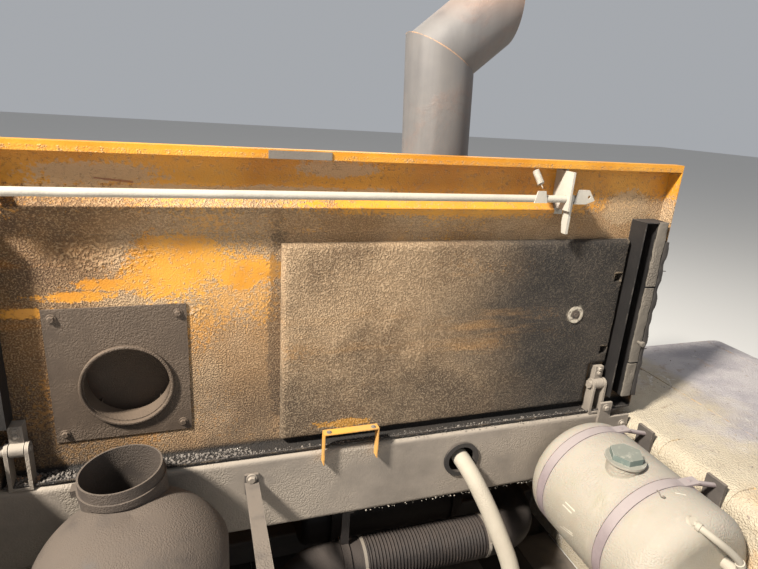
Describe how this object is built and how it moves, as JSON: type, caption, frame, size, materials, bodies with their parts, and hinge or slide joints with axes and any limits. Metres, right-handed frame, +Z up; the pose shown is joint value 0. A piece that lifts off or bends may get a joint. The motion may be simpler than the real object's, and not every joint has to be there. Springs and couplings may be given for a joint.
{
  "type": "wheel loader engine hood section with raised side door",
  "caption": "Hood section of a wheel loader with its side door raised on a centre beam, over air cleaner, coolant tank and exhaust.",
  "frame": {"origin": "under the middle of the section, on the ground that its foot plates stand on", "axes": "+X to the machine's rear, +Y to its far side, away from the door's opening, +Z up"},
  "size_m": [3.06, 1.17, 2.1068],
  "materials": {
    "bare_steel": "dull zinc under dust",
    "canister_plastic": "dusty moulding",
    "cap_plastic": "worn grey-green moulding",
    "dark_foam": "dusty foam",
    "dusty_paint": "paint under caked stone dust",
    "grey_steel": "dusty grey paint",
    "hose_rubber": "dust-covered rubber",
    "pad_foam": "grained foam skin under dust",
    "stack_steel": "heat-browned, rusty at the rim",
    "tank_plastic": "translucent white moulding, dusty",
    "yellow_paint": "chipped and dusty enamel"
  },
  "bodies": {
    "frame": {"bulkhead": "dusty_paint", "sill_rails": "grey_steel", "cross_members": "grey_steel", "feet": "grey_steel", "cooler_box": "dusty_paint", "rear_grille": "grey_steel", "centre_beam": "grey_steel", "beam_grommet": "dark_foam", "beam_end_plate": "grey_steel", "near_side_rail": "grey_steel", "strikers": "bare_steel", "brace_bar": "grey_steel", "guard_bracket": "yellow_paint", "far_panel": "yellow_paint", "stack_tube": "stack_steel", "stack_outlet": "stack_steel", "stack_flange": "stack_steel", "stack_riser": "stack_steel", "muffler": "stack_steel", "exhaust_pipe": "stack_steel", "exhaust_bellows": "stack_steel", "muffler_hangers": "grey_steel", "pipe_hanger": "grey_steel", "air_cleaner_body": "canister_plastic", "air_cleaner_neck": "canister_plastic", "neck_clamp": "bare_steel", "cleaner_stand": "grey_steel", "coolant_tank": "tank_plastic", "tank_straps": "bare_steel", "tank_cradle": "grey_steel", "filler_neck": "tank_plastic", "filler_cap": "cap_plastic", "tank_outlet": "hose_rubber", "coolant_hose": "hose_rubber", "hose_stubs": "bare_steel", "hinge_lugs": "grey_steel", "hinge_pins": "bare_steel", "air_cleaner_cover": "canister_plastic", "cover_clamp": "bare_steel", "box_hood": "dusty_paint", "side_screens": "grey_steel", "side_panel": "yellow_paint", "belly_guard": "grey_steel"},
    "door": {"door_skin": "yellow_paint", "door_stiffener": "yellow_paint", "sound_pad": "pad_foam", "pad_washer": "bare_steel", "duct_plate": "dusty_paint", "duct_collar": "dusty_paint", "inlet_head": "dusty_paint", "seal_channels": "grey_steel", "seal_strips": "dark_foam", "grip_plate": "bare_steel", "hinge_straps": "grey_steel", "rod_guide": "bare_steel", "latch_bracket": "bare_steel", "return_spring": "bare_steel", "door_handle": "bare_steel"},
    "latch": {"latch_rod": "bare_steel", "latch_lever": "bare_steel"}
  },
  "joints": [
    {"name": "door_hinge", "type": "hinge", "parent": "frame", "child": "door", "pos_m": [-0.97, 0.125, 0.85], "axis": [1, 0, 0], "range_deg": [0, 90]},
    {"name": "latch_turn", "type": "hinge", "parent": "door", "child": "latch", "pos_m": [-0.97, 0.1, 1.45], "axis": [-1, 0, 0], "range_deg": [0, 40], "stiffness_Nm_per_rad": 4, "springref_deg": -20.05, "deforming": ["return_spring"]}
  ]
}
